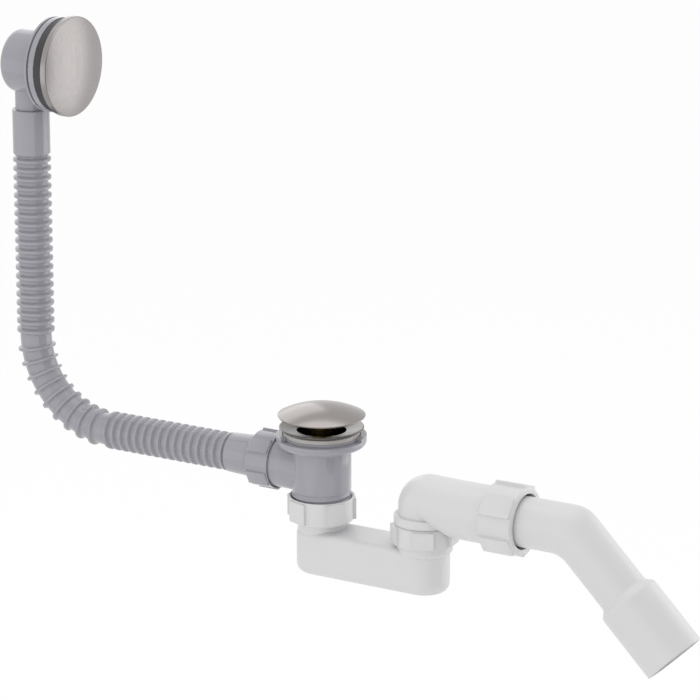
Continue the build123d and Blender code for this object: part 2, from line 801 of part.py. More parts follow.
def elbow_corner(radius):
    """Square bend of the elbow's pipe: its section on the leg, swung round the inner corner to the run."""
    with BuildPart() as corner:
        with BuildSketch(Plane((trap_reach, 0, leg_top))):
            Circle(radius)
            with Locations((elbow_bend, 0)):
                Rectangle(radius, 2 * radius, align=(Align.MIN, Align.CENTER), mode=Mode.SUBTRACT)
        revolve(axis=Axis((run_start, 0, leg_top), (0, 1, 0)), revolution_arc=quarter)
    return corner.part


with BuildPart() as outlet_elbow:
    with BuildSketch(Plane((trap_reach, 0, stop_foot))):
        Circle(elbow_radius)
    extrude(amount=leg_top - stop_foot)
    add(elbow_corner(elbow_radius))
    with BuildSketch(run_plane):
        Circle(elbow_radius)
    with BuildSketch(socket_plane):
        Circle(socket_radius)
    loft()
    with BuildSketch(socket_plane):
        Circle(socket_radius)
    extrude(amount=socket_length)
    with BuildSketch(Plane((trap_reach, 0, stop_foot))):
        Circle(stop_radius)
    extrude(amount=stop_height)
    with BuildSketch(Plane((trap_reach, 0, stop_foot))):
        Circle(nut_sweep)
    extrude(amount=outlet_z - socket_radius - stop_foot, mode=Mode.SUBTRACT)
    with BuildSketch(Plane((trap_reach, 0, leg_end))):
        Circle(leg_radius)
    extrude(amount=leg_top - leg_end)
    with BuildSketch(Plane((trap_reach, 0, leg_end))):
        Circle(leg_bore)
    extrude(amount=leg_top - leg_end, mode=Mode.SUBTRACT)
    add(elbow_corner(leg_bore), mode=Mode.SUBTRACT)
    with BuildSketch(run_plane):
        Circle(leg_bore)
    extrude(amount=socket_floor - run_start, mode=Mode.SUBTRACT)
    with BuildSketch(socket_plane.offset(socket_land)):
        Circle(pipe_radius + swivel_gap)
    extrude(amount=socket_length - socket_land, mode=Mode.SUBTRACT)
outlet_elbow.part.label = "outlet_elbow"
export_step(outlet_elbow.part, "parts/outlet_elbow.step")

# Seal and nut round the tail pipe at the socket's end
outlet_seal_seat = Plane((socket_end, 0, outlet_z), x_dir=(0, 1, 0), z_dir=(1, 0, 0))
outlet_seal = flat_ring(outlet_seal_seat, socket_radius, pipe_radius + swivel_gap, seal_height)
outlet_seal.part.label = "outlet_seal"
export_step(outlet_seal.part, "parts/outlet_seal.step")
outlet_nut = lugged_nut(
    seat=Plane((outlet_nut_face, 0, outlet_z), x_dir=(0, 1, 0), z_dir=(1, 0, 0)),
    length=outlet_nut_length,
    radius=outlet_nut_radius,
    thread=socket_radius + thread_gap,
    depth=socket_end + seal_height - outlet_nut_face,
    mouth=outlet_nut_mouth,
    lug_face=outlet_nut_lug,
    lug_width=nut_lug_width,
    turn=outlet_nut_turn,
    taper=nut_taper,
)
outlet_nut.part.label = "outlet_nut"
export_step(outlet_nut.part, "parts/outlet_nut.step")

# Tail: a pipe that turns in the socket, a bend down, a cone and the wider end for the drain
bend_inset = tail_bend_radius * tan(radians(tail_angle / 2))
bend_start = corner_x - bend_inset
tail_along = (cos(radians(tail_angle)), 0, -sin(radians(tail_angle)))
tail_axis = Axis((bend_start, 0, outlet_z - tail_bend_radius), (0, 1, 0))
corner_plane = Plane((corner_x, 0, outlet_z), x_dir=(0, 1, 0), z_dir=tail_along)
cone_start = corner_plane.offset(tail_pipe_length)
cone_end = corner_plane.offset(tail_pipe_length + tail_cone)
with BuildPart() as tail_bend:
    for inset, mode in ((0, Mode.ADD), (pipe_wall, Mode.SUBTRACT)):
        radius = pipe_radius - inset
        with BuildSketch(Plane((pipe_start, 0, outlet_z), x_dir=(0, 1, 0), z_dir=(1, 0, 0))):
            Circle(radius)
        extrude(amount=bend_start - pipe_start, mode=mode)
        with BuildSketch(Plane((bend_start, 0, outlet_z), x_dir=(0, 1, 0), z_dir=(1, 0, 0))):
            Circle(radius)
            with Locations((0, -tail_bend_radius)):
                Rectangle(2 * radius, radius, align=(Align.CENTER, Align.MAX), mode=Mode.SUBTRACT)
        revolve(axis=tail_axis, revolution_arc=tail_angle, mode=mode)
        with BuildSketch(corner_plane.offset(bend_inset)):
            Circle(radius)
        extrude(amount=tail_pipe_length - bend_inset, mode=mode)
        with BuildSketch(cone_start):
            Circle(radius)
        with BuildSketch(cone_end):
            Circle(tail_end_radius - inset)
        loft(mode=mode)
        with BuildSketch(cone_end):
            Circle(tail_end_radius - inset)
        extrude(amount=tail_end_length, mode=mode)
tail_bend.part.label = "tail_bend"
export_step(tail_bend.part, "parts/tail_bend.step")
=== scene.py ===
"""Bath waste and overflow, dressed around its CAD frame: raised plug, ribbed hose, white trap and outlet.

The frame is in metres, with the waste axis on Z, the bath floor at Z = 0 and the outlet along +X.
Sizes are written in millimetres, as on a maker's drawing, and become metres where a mesh is made.
"""

import json

import bmesh
import bpy
import numpy as np
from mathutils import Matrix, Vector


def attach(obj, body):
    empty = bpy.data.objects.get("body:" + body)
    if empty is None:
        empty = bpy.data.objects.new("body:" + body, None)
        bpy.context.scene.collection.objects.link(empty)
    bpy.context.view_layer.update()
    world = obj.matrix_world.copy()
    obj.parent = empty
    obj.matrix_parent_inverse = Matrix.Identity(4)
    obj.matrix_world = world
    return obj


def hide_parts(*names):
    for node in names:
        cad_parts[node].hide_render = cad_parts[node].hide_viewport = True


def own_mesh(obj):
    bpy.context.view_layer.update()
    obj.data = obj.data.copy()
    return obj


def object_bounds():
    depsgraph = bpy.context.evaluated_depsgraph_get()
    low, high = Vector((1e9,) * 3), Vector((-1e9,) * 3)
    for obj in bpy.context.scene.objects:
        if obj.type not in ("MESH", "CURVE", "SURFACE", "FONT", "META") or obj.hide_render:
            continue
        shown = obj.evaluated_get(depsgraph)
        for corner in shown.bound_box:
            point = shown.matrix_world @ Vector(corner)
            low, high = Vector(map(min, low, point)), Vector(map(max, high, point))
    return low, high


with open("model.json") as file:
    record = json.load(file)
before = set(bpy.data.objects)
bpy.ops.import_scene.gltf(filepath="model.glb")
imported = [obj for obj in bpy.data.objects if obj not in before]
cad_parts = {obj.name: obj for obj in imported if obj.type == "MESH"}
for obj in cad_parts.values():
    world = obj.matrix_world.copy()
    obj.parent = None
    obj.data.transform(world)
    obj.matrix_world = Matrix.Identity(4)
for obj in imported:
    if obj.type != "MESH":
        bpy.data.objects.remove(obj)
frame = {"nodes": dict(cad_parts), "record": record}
cad_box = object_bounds()

# Waste body: the grey barrel under the bath, with a gasket cup on top and a side branch for the hose.
# Injection-moulded polypropylene in one shot; the metal flange screws down into it from above
# and pulls the cup's gasket up against the bath.
MM = 0.001
SIDEWAYS = np.array((0.0, 1.0, 0.0))
UP = np.array((0.0, 0.0, 1.0))
EVEN = np.radians(np.arange(0, 360, 3.0))


def rounded(corners, steps=7):
    """Outline through (position, radius, round) corners, each softened by a quadratic curve.

    The curve runs from a point its round before the corner to a point its round after it, with the
    corner as control point, and a short straight run-in at both ends keeps the flats flat.
    """
    side_share, run, too_close = 0.42, 1.15, 0.0001
    corners = np.asarray(corners, float)
    point, reach = corners[:, :2], corners[:, 2]
    back, ahead = np.roll(point, 1, 0) - point, np.roll(point, -1, 0) - point
    back_length, ahead_length = np.linalg.norm(back, axis=1), np.linalg.norm(ahead, axis=1)
    reach = np.minimum(reach, side_share * np.minimum(back_length, ahead_length))
    back = (back / back_length[:, None] * reach[:, None])[:, None]
    ahead = (ahead / ahead_length[:, None] * reach[:, None])[:, None]
    t = np.linspace(0, 1, steps)[None, :, None]
    curve = point[:, None] + (1 - t) ** 2 * back + t**2 * ahead
    run_in, run_out = point[:, None] + run * back, point[:, None] + run * ahead
    line = np.concatenate([run_in, curve, run_out], 1).reshape(-1, 2)
    return line[np.linalg.norm(line - np.roll(line, 1, 0), axis=1) > too_close]


def arc(centre, radius, start, end, count=14):
    """Corners on a circle about centre, from one angle to the other in degrees, already round."""
    turn = np.radians(np.linspace(start, end, count))
    return np.stack([centre[0] + radius * np.cos(turn), centre[1] + radius * np.sin(turn), 0 * turn], 1)


def around(along, angles):
    """Directions square to an axis: cos * across + sin * sideways, with across = sideways x along."""
    return np.cos(angles)[:, None] * np.cross(SIDEWAYS, along) + np.sin(angles)[:, None] * SIDEWAYS


def turned(outline, start=(0, 0, 0), along=UP, angles=EVEN):
    """Grid of a turned surface: each (position, radius) of the outline swung round an axis.

    The axis leaves start in the direction along, in the plane Y = 0, and a point is
    start + position * along + radius * the direction that its angle has around the axis.
    """
    along = np.asarray(along, float)
    return np.asarray(start) + outline[:, :1, None] * along + outline[:, 1:, None] * around(along, angles)


def make_piece(name, node, material, *loops, capped=()):
    """Piece in place of a CAD node, from grids that close round.

    Neighbouring grid points make the corners of a face, and a loop's last row also joins its first.
    Points that fall together, as at a pole or at the ends of capped grids, are welded, and the faces
    of each shell are turned outwards.
    """
    weld, crease = 0.002 * MM, np.radians(38)
    points, faces, used = [], [], 0
    for grid in (*loops, *capped):
        rows, columns = grid.shape[:2]
        number = used + np.arange(rows * columns).reshape(rows, columns)
        right, down = np.roll(number, -1, 1), np.roll(number, -1, 0)
        quads = np.stack([number, right, np.roll(down, -1, 1), down], -1)
        faces.append((quads if len(faces) < len(loops) else quads[:-1]).reshape(-1, 4))
        points.append(grid.reshape(-1, 3) * MM)
        used += rows * columns
    mesh = bpy.data.meshes.new(name)
    mesh.from_pydata(np.vstack(points), [], np.vstack(faces))
    shell = bmesh.new()
    shell.from_mesh(mesh)
    bmesh.ops.remove_doubles(shell, verts=shell.verts, dist=weld)
    bmesh.ops.recalc_face_normals(shell, faces=shell.faces)
    shell.to_mesh(mesh)
    shell.free()
    mesh.shade_smooth()
    mesh.set_sharp_from_angle(angle=crease)
    mesh.materials.append(material)
    piece = bpy.data.objects.new(name, mesh)
    bpy.context.scene.collection.objects.link(piece)
    record = frame["record"]
    bodies = record["behaviour"]["bodies"]
    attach(piece, next(body for body, nodes in bodies.items() if node in nodes))
    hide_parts(node)
    return piece


def linear(code):
    """Linear colour of an sRGB hex code, by the curve of that standard."""
    srgb = np.array([int(code[i : i + 2], 16) for i in (1, 3, 5)]) / 255
    return (*np.where(srgb <= 0.04045, srgb / 12.92, ((srgb + 0.055) / 1.055) ** 2.4), 1.0)


def add(tree, kind, links=None, **settings):
    """Adds a node with its settings; links gives each input a value or another node's output."""
    new = tree.nodes.new(kind)
    for key, value in settings.items():
        setattr(new, key, value)
    for key, value in (links or {}).items():
        if isinstance(value, bpy.types.NodeSocket):
            tree.links.new(value, new.inputs[key])
        else:
            new.inputs[key].default_value = value
    return new


def new_material(name):
    """A material with its node tree, its shader and the Object coordinates that patterns are drawn in."""
    material = bpy.data.materials.new(name)
    material.use_nodes = True
    tree = material.node_tree
    return material, tree, tree.nodes["Principled BSDF"], add(tree, "ShaderNodeTexCoord").outputs["Object"]


def moulded_plastic(name, colour, shade, rough, grain_mm, flow_mm):
    """Injection-moulded polypropylene: glossy, slightly cloudy where the melt flowed, finely grained.

    A broad noise drifts the colour between colour and shade, one four times finer drifts the gloss,
    and a grain bump dulls the highlights as the mould's satin surface does.
    """
    gloss_drift = 0.015
    material, tree, shader, place = new_material(name)
    shader.inputs["IOR"].default_value = 1.49
    flow = add(tree, "ShaderNodeTexNoise", {"Vector": place, "Scale": 1 / (flow_mm * MM), "Detail": 3.0})
    tint = {"Factor": flow.outputs["Fac"], "A": linear(colour), "B": linear(shade)}
    drift = add(tree, "ShaderNodeMix", tint, data_type="RGBA")
    tree.links.new(drift.outputs["Result"], shader.inputs["Base Color"])
    wipe = add(tree, "ShaderNodeTexNoise", {"Vector": place, "Scale": 4 / (flow_mm * MM), "Detail": 5.0})
    gloss = add(tree, "ShaderNodeMapRange", {
        "Value": wipe.outputs["Fac"], "From Min": 0.3, "From Max": 0.7,
        "To Min": rough - gloss_drift, "To Max": rough + gloss_drift,
    })
    tree.links.new(gloss.outputs["Result"], shader.inputs["Roughness"])
    grain = add(tree, "ShaderNodeTexNoise", {"Vector": place, "Scale": 1 / (grain_mm * MM), "Detail": 2.0})
    relief = {"Height": grain.outputs["Fac"], "Strength": 0.06, "Distance": 0.05 * MM}
    bump = add(tree, "ShaderNodeBump", relief)
    tree.links.new(bump.outputs["Normal"], shader.inputs["Normal"])
    return material


# The mould's grain is near 0.1 mm, too fine to show, and is drawn at 0.9 mm.
grey_polypropylene = moulded_plastic(
    "grey_polypropylene", "#9d9ca3", "#98979e", rough=0.08, grain_mm=0.9, flow_mm=38,
)

lip_inner, lip_outer, lip_top, lip_round, cup_floor = 31.0, 36.0, -3.0, -7.5, -5.5
barrel, barrel_top, barrel_foot, barrel_bore = 23.75, -14.0, -66.0, 20.75
seat_bore, seat_foot = 21.65, -24.2
thread_top, thread_foot, thread_rows = -47.6, -65.0, 45
cup_corners = np.vstack([
    [(lip_top, lip_inner, 0.5), (lip_top, lip_outer, 0.8)],
    arc((lip_round, lip_inner), lip_outer - lip_inner, 90, 180),
    [(barrel_top, barrel, 2.5)],
    [(z, barrel, 0) for z in np.linspace(thread_top, thread_foot, thread_rows)],
    [(barrel_foot, barrel, 0.8), (barrel_foot, barrel_bore, 0.5)],
    [(seat_foot, barrel_bore, 0), (seat_foot, seat_bore, 0)],
    [(cup_floor, seat_bore, 0), (cup_floor, lip_inner, 0.4)],
])

# In front the lip is cut away down to the cup's floor, over a window with steep sides.
window_turn, window_half, side_half, slack = -59.5, 62.5, 0.15, 0.1
window_sides = window_turn + window_half * np.array([[-1], [1]]) + side_half * np.array([-1, 1])
cup_angles = np.unique(np.concatenate([EVEN, np.radians(window_sides.ravel() % 360)]))
cup = turned(rounded(cup_corners), angles=cup_angles)
from_axis = np.hypot(cup[..., 0], cup[..., 1])
from_window = np.abs((np.degrees(cup_angles) - window_turn + 180) % 360 - 180)
in_window = (from_window < window_half) & (from_axis > lip_inner - slack) & (cup[..., 2] > cup_floor)
cup[..., 2] = np.where(in_window, cup_floor, cup[..., 2])

# The foot has a round-bottomed thread, whose first turn shows above the nut: a groove of
# 1/2 + 1/2 cos of the turns that a point lies from the helix, fading out over 1 mm at both ends.
thread_start, thread_pitch, thread_depth, thread_fade = -53.6, 4.6, 0.9, 1.0
turns = (cup[..., 2] - thread_start) / thread_pitch - cup_angles / (2 * np.pi)
to_end = np.minimum(thread_top - cup[..., 2], cup[..., 2] - thread_foot)
fade = np.where(np.isclose(from_axis, barrel), np.clip(to_end / thread_fade, 0, 1), 0)
groove = thread_depth * fade * (0.5 + 0.5 * np.cos(2 * np.pi * turns))
cup[..., :2] *= 1 - groove[..., None] / barrel

# The branch starts on a saddle inside the barrel's wall, so that it meets the barrel all round.
branch_z, branch_radius, branch_bore, branch_end = -32.0, 20.7, 15.5, 50.5
branch_start, branch_tip, saddle_depth = 18.0, 46.0, 1.5
branch_corners = [
    (branch_start, branch_radius, 0), (branch_tip, branch_radius, 0), (branch_end, branch_radius, 0.8),
    (branch_end, branch_bore, 0.5), (branch_start, branch_bore, 0),
]
branch = turned(rounded(branch_corners), (0, 0, branch_z), (-1, 0, 0))
saddle = -np.sqrt(np.maximum((barrel - saddle_depth) ** 2 - branch[..., 1] ** 2, 0))
branch[..., 0] = np.where(np.isclose(branch[..., 0], -branch_start), saddle, branch[..., 0])
make_piece("waste_body_moulding", "waste_body", grey_polypropylene, cup, branch)

# Metal flange: the dished ring that shows in the bath, with its sleeve and the spokes that hold the hub.
# Cast brass under satin nickel plate, brushed before plating; its sleeve screws into the grey body.


def brushed_metal(name, colour, shade, rough, along, spacing_mm):
    """Brushed nickel plate: fine straight scratches that blur reflections across their direction.

    Noise is drawn out 60 times along the brushing, so it varies quickly across it. It drifts the
    colour a little, the gloss more, and raises fine ridges.
    """
    drawn_out, gloss_drift = 60, 0.04
    material, tree, shader, place = new_material(name)
    shader.inputs["Metallic"].default_value = 1.0
    stretch = np.where(along, 1 / drawn_out, 1.0)
    drawn = add(tree, "ShaderNodeMapping", {"Vector": place, "Scale": stretch})
    scratches = {"Vector": drawn.outputs["Vector"], "Scale": 1 / (spacing_mm * MM), "Detail": 4.0}
    strokes = add(tree, "ShaderNodeTexNoise", scratches)
    tint = {"Factor": strokes.outputs["Fac"], "A": linear(colour), "B": linear(shade)}
    drift = add(tree, "ShaderNodeMix", tint, data_type="RGBA")
    tree.links.new(drift.outputs["Result"], shader.inputs["Base Color"])
    gloss = add(tree, "ShaderNodeMapRange", {
        "Value": strokes.outputs["Fac"], "From Min": 0.3, "From Max": 0.7,
        "To Min": rough - gloss_drift, "To Max": rough + gloss_drift,
    })
    tree.links.new(gloss.outputs["Result"], shader.inputs["Roughness"])
    relief = {"Height": strokes.outputs["Fac"], "Strength": 0.06, "Distance": 0.02 * MM}
    bump = add(tree, "ShaderNodeBump", relief)
    tree.links.new(bump.outputs["Normal"], shader.inputs["Normal"])
    return material


# Brush strokes 0.15 mm apart are too fine to show and are drawn 0.7 mm apart.
# The flange's nickel is painted darker than the plug's and the cover's, as painted shade under the plug.
shaded_nickel_flange = brushed_metal(
    "brushed_nickel_flange_painted_shade", "#757170", "#6b6766", rough=0.2, along=(1, 0, 0), spacing_mm=0.7,
)

sleeve, sleeve_foot, drain, dish_foot = 21.4, -24.0, 19.5, 0.6
flange_flat, rim, rim_foot, rim_top, rim_bevel = 30.6, 34.0, 2.7, 3.4, 0.8
flange_corners = [
    (dish_foot, drain, 1.2), (sleeve_foot, drain, 0.3), (sleeve_foot, sleeve, 0.4), (0, sleeve, 0.2),
    (0, flange_flat, 0.3), (rim_foot, rim, 0.5), (rim_top, rim - rim_bevel, 0.5),
]
flange = turned(rounded(flange_corners))


def ring_outline(first, last, inner, outer, rounds):
    """Outline of a plain ring between two end faces, with a round for each of its four edges.

    The edges run from the inner one of the first face over both outer ones to the inner one of the last.
    """
    position, radius = (first, first, last, last), (inner, outer, outer, inner)
    return rounded(np.stack([position, radius, rounds], 1))


hub_top, hub_foot, hub_bore, hub_radius = -14.0, -20.0, 8.25, 10.05
hub = turned(ring_outline(hub_top, hub_foot, hub_bore, hub_radius, (0.3, 0.4, 0.4, 0.3)))


def spoke(turn, half_width=1.5, start=9.5, end=20.2, power=6, points=40):
    """Grid of one spoke: a rounded rectangle carried out from the hub to the sleeve, at the angle turn.

    The section is a superellipse of the given power, as high as the hub, and both ends close to a point.
    """
    middle, half_height = (hub_top + hub_foot) / 2, (hub_top - hub_foot) / 2
    side = np.linspace(0, 2 * np.pi, points, endpoint=False)
    across = half_width * np.sign(np.cos(side)) * np.abs(np.cos(side)) ** (2 / power)
    upward = half_height * np.sign(np.sin(side)) * np.abs(np.sin(side)) ** (2 / power)
    out = np.array([start, start, end, end])[:, None]
    share = np.array([0, 1, 1, 0])[:, None]
    x = out * np.cos(turn) - share * across * np.sin(turn)
    y = out * np.sin(turn) + share * across * np.cos(turn)
    return np.stack([x, y, middle + share * upward], -1)


spokes = [spoke(turn) for turn in np.radians((0, 90, 180, 270))]
make_piece("waste_flange_ring", "waste_flange", shaded_nickel_flange, flange, hub, capped=spokes)

# Washer and gasket: flat rings clamped with the bath floor between the flange and the grey cup.
# The washer is punched from natural polyethylene, the gasket moulded from soft grey rubber.


def soft_sheet(name, colour, shade, rough, speck_mm):
    """Rubber or soft plastic: matt, with a mottled colour and the dull pits of a moulded skin."""
    material, tree, shader, place = new_material(name)
    shader.inputs["Roughness"].default_value = rough
    shader.inputs["IOR"].default_value = 1.52
    specks = add(tree, "ShaderNodeTexNoise", {"Vector": place, "Scale": 1 / (speck_mm * MM), "Detail": 6.0})
    tint = {"Factor": specks.outputs["Fac"], "A": linear(colour), "B": linear(shade)}
    drift = add(tree, "ShaderNodeMix", tint, data_type="RGBA")
    tree.links.new(drift.outputs["Result"], shader.inputs["Base Color"])
    relief = {"Height": specks.outputs["Fac"], "Strength": 0.25, "Distance": 0.1 * MM}
    bump = add(tree, "ShaderNodeBump", relief)
    tree.links.new(bump.outputs["Normal"], shader.inputs["Normal"])
    return material


# The specks of such skins are finer than 0.5 mm and are drawn coarser, so that they show.
natural_polyethylene = soft_sheet("natural_polyethylene", "#b9b6b3", "#afaca9", rough=0.3, speck_mm=2.2)
grey_rubber = soft_sheet("grey_epdm_rubber", "#a3a2a9", "#9a999f", rough=0.35, speck_mm=1.4)

washer_radius, washer_foot, gasket_radius = 30.5, -3.5, 30.8
washer = turned(ring_outline(0, washer_foot, seat_bore, washer_radius, (0.2, 0.5, 0.6, 0.2)))
make_piece("flange_washer_ring", "flange_washer", natural_polyethylene, washer)
gasket = turned(ring_outline(washer_foot, cup_floor, seat_bore, gasket_radius, (0.2, 0.5, 0.5, 0.2)))
make_piece("floor_gasket_ring", "floor_gasket", grey_rubber, gasket)

# Click cartridge: housing and collar turned from brass, with a wound steel spring and a plastic cam ring.
# The housing screws into the hub; the stem with the plug slides in it.


def turned_metal(name, colour, shade, rough, feed_mm):
    """Metal from a lathe: rings round the axis, one for each feed of the tool, drawn by a wave along Z."""
    # At a scale of 1 the wave node draws 20 / (2 * pi) waves in each unit.
    waves_a_unit = 20 / (2 * np.pi)
    material, tree, shader, place = new_material(name)
    shader.inputs["Metallic"].default_value = 1.0
    shader.inputs["Roughness"].default_value = rough
    feed = {"Vector": place, "Scale": 1 / (feed_mm * MM) / waves_a_unit, "Distortion": 0.4}
    rings = add(tree, "ShaderNodeTexWave", feed, bands_direction="Z")
    tint = {"Factor": rings.outputs["Fac"], "A": linear(colour), "B": linear(shade)}
    drift = add(tree, "ShaderNodeMix", tint, data_type="RGBA")
    tree.links.new(drift.outputs["Result"], shader.inputs["Base Color"])
    relief = {"Height": rings.outputs["Fac"], "Strength": 0.1, "Distance": 0.02 * MM}
    bump = add(tree, "ShaderNodeBump", relief)
    tree.links.new(bump.outputs["Normal"], shader.inputs["Normal"])
    return material


# A tool feed of 0.1 mm is too fine to show, and its rings are drawn 3.14 mm apart.
turned_brass = turned_metal("turned_brass", "#a58d5c", "#947c4d", rough=0.28, feed_mm=3.1416)
stainless_steel = turned_metal("drawn_stainless_steel", "#c2c1be", "#adaca9", rough=0.22, feed_mm=3.1416)


def dress(material, *nodes):
    """Gives CAD nodes their material."""
    for node in nodes:
        for place in frame["nodes"][node].material_slots:
            place.material = material


dress(turned_brass, "cartridge_body", "cartridge_collar", "plunger")
dress(natural_polyethylene, "latch_ring")


def coil(radius, wire, foot, top, turns, rows=181, points=12):
    """Grid of a coil spring: a round wire section carried along a helix, closed to a point at both ends."""
    step = np.linspace(0, 1, rows)[:, None]
    turn = 2 * np.pi * turns * step
    side = np.linspace(0, 2 * np.pi, points, endpoint=False)
    thick = wire / 2 * ((step > 0) & (step < 1))
    out = radius + thick * np.cos(side)
    rise = foot + wire / 2 + (top - foot - wire) * step + thick * np.sin(side)
    return np.stack([out * np.cos(turn), out * np.sin(turn), rise], -1)


spring_foot, spring_top, plug_travel = -21.0, -9.0, 7.8
spring_coil = coil(radius=4.9, wire=0.85, foot=spring_foot, top=spring_top, turns=3.5)
spring = make_piece("cartridge_spring_coil", "cartridge_spring", stainless_steel, capped=[spring_coil])
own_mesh(spring)

# Plug: a pressed and brushed dome that stands above the flange on the stem and closes it when pushed.
# Brass under satin nickel plate; its black rubber ring is stretched over a raised seat below.
nickel_plug = brushed_metal(
    "brushed_nickel_plug", "#979290", "#8d8886", rough=0.22, along=(1, 0, 0), spacing_mm=0.7,
)
black_rubber = soft_sheet("black_epdm_rubber", "#2c2c2e", "#3a3a3c", rough=0.55, speck_mm=1.4)


def dome(radius, rise):
    """Sphere of a dome: its radius, (r * r + h * h) / (2 * h), and its half angle in degrees."""
    sphere = (radius**2 + rise**2) / (2 * rise)
    return sphere, np.degrees(np.arcsin(radius / sphere))


plug_radius, dome_edge, dome_rise, dome_stop = 35.0, 12.7, 8.5, 0.6
plug_rim, rim_inset, rim_inner, underside, under_edge = 11.5, 0.6, 33.5, 12.5, 32.5
ring_seat, ring_seat_bore, stem_hole, stem_top = 20.3, 18.4, 4.3, 16.5
plug_sphere, plug_half = dome(plug_radius, dome_rise)
plug_corners = np.vstack([
    arc((dome_edge + dome_rise - plug_sphere, 0), plug_sphere, 0, plug_half - dome_stop, count=40),
    [(dome_edge, plug_radius, 0.5), (plug_rim, plug_radius - rim_inset, 0.5)],
    [(plug_rim, rim_inner, 0.3), (underside, under_edge, 0.3), (underside, ring_seat, 0)],
    [(plug_rim, ring_seat, 0.2), (plug_rim, ring_seat_bore, 0.2), (underside, ring_seat_bore, 0.1)],
    [(underside, stem_hole, 0.1), (stem_top, stem_hole, 0), (stem_top, 0, 0)],
])
make_piece("plug_dome", "plug_cap", nickel_plug, capped=[turned(rounded(plug_corners))])
dress(black_rubber, "plug_seal")

# Overflow hose: a grey corrugated pipe, stretched to its shape, with a plain cuff above and a tapered one
# below. Blown from polypropylene; the upper cuff is pushed over the elbow's spigot, and the lower one
# ends in a collar that the hose nut clamps.
hose_x, bend_radius, cuff_top, cuff_end = -274.6, 72.0, 229.0, 191.0
bend_top, bend_end = branch_z + bend_radius, hose_x + bend_radius
root, crest, rib_pitch, rib_top, rib_foot, rib_rows = 12.9, 15.5, 7.6, 1.8, 5.2, 14
drop, sweep = cuff_top - bend_top, bend_radius * np.pi / 2
level = drop + sweep


def hose_grid(outline, angles):
    """Grid of the hose: each (distance, radius) of the outline set across the hose's centre line.

    The line falls from the cuff's top, turns a quarter circle and runs level to the collar. Across it,
    a point lies radius * (cos * outward + sin * sideways) away, outward from the bend's centre.
    """
    along, radius = outline.T
    turn = np.clip((along - drop) / bend_radius, 0, np.pi / 2)
    outward = np.stack([-np.cos(turn), 0 * turn, -np.sin(turn)], 1)
    middle = np.array([bend_end, 0, bend_top]) + bend_radius * outward
    middle[:, 2] += np.maximum(drop - along, 0)
    middle[:, 0] += np.maximum(along - level, 0)
    cos, sin = np.cos(angles)[None, :, None], np.sin(angles)[None, :, None]
    return middle[:, None] + radius[:, None, None] * (cos * outward[:, None] + sin * SIDEWAYS)


def smooth_step(share):
    """Rises from 0 to 1 as share does, level at both ends: s * s * (3 - 2 * s)."""
    share = np.clip(share, 0, 1)
    return share * share * (3 - 2 * share)


def ribs(distance, top, foot):
    """Radius of the hose by the distance from a rib's middle: crest over its top, root past its foot."""
    return crest - (crest - root) * smooth_step((np.abs(distance) - top / 2) / ((foot - top) / 2))


def ribbed(start, end):
    """Outline of a ribbed run with its ribs evenly spread, one in the middle of each pitch."""
    count = round((end - start) / rib_pitch)
    pitch = (end - start) / count
    along = np.linspace(start, end, count * rib_rows + 1)
    return np.stack([along, ribs((along - start) % pitch - pitch / 2, rib_top, rib_foot)], 1)


# Round the bend the ribs are thin and stand further apart, because the pipe is stretched there.
bend_pitches, thin_top, thin_foot, bend_rows = 10, 1.6, 4.4, 300
bend_pitch = sweep / bend_pitches
into_bend = np.linspace(0, sweep, bend_rows)
nearest = np.clip(np.round(into_bend / bend_pitch), 1, bend_pitches - 1)
bend = np.stack([drop + into_bend, ribs(into_bend - nearest * bend_pitch, thin_top, thin_foot)], 1)

cuff_radius, cuff_bore, cuff_bevel, cuff_depth = 15.2, 12.8, 0.4, 26.0
cuff_length, shoulder_start, shoulder_end, shoulder = cuff_top - cuff_end, 1.5, 0.2, 13.9
tail_start, tail_radius, tail_end_radius = -83.0, 16.0, 17.2
collar_rear, collar_front, collar_radius = -55.9, -52.9, 19.6
hose_bore, bore_rows, hose_step = 11.4, 60, 5.0
to_level = level - bend_end
bore_along = np.linspace(to_level + collar_front, cuff_depth, bore_rows)
hose_outline = np.vstack([
    [(0, cuff_bore), (0, cuff_radius - cuff_bevel), (cuff_bevel, cuff_radius)],
    [(cuff_length - shoulder_start, cuff_radius), (cuff_length - shoulder_end, shoulder)],
    ribbed(cuff_length, drop),
    bend[1:-1],
    ribbed(level, to_level + tail_start),
    [(to_level + tail_start, tail_radius), (to_level + collar_rear, tail_end_radius)],
    [(to_level + collar_rear, collar_radius), (to_level + collar_front, collar_radius)],
    [(to_level + collar_front, hose_bore)],
    np.stack([bore_along, np.full(bore_rows, hose_bore)], 1),
    [(cuff_depth, cuff_bore)],
])
bellows = hose_grid(hose_outline, np.radians(np.arange(0, 360, hose_step)))
make_piece("overflow_hose_bellows", "overflow_hose", grey_polypropylene, bellows)

# Hose nut: a grey lugged nut that clamps the hose's collar and its seal on the branch.
# Moulded polypropylene; five flat lugs give a grip for the hand.
LUGS = 5


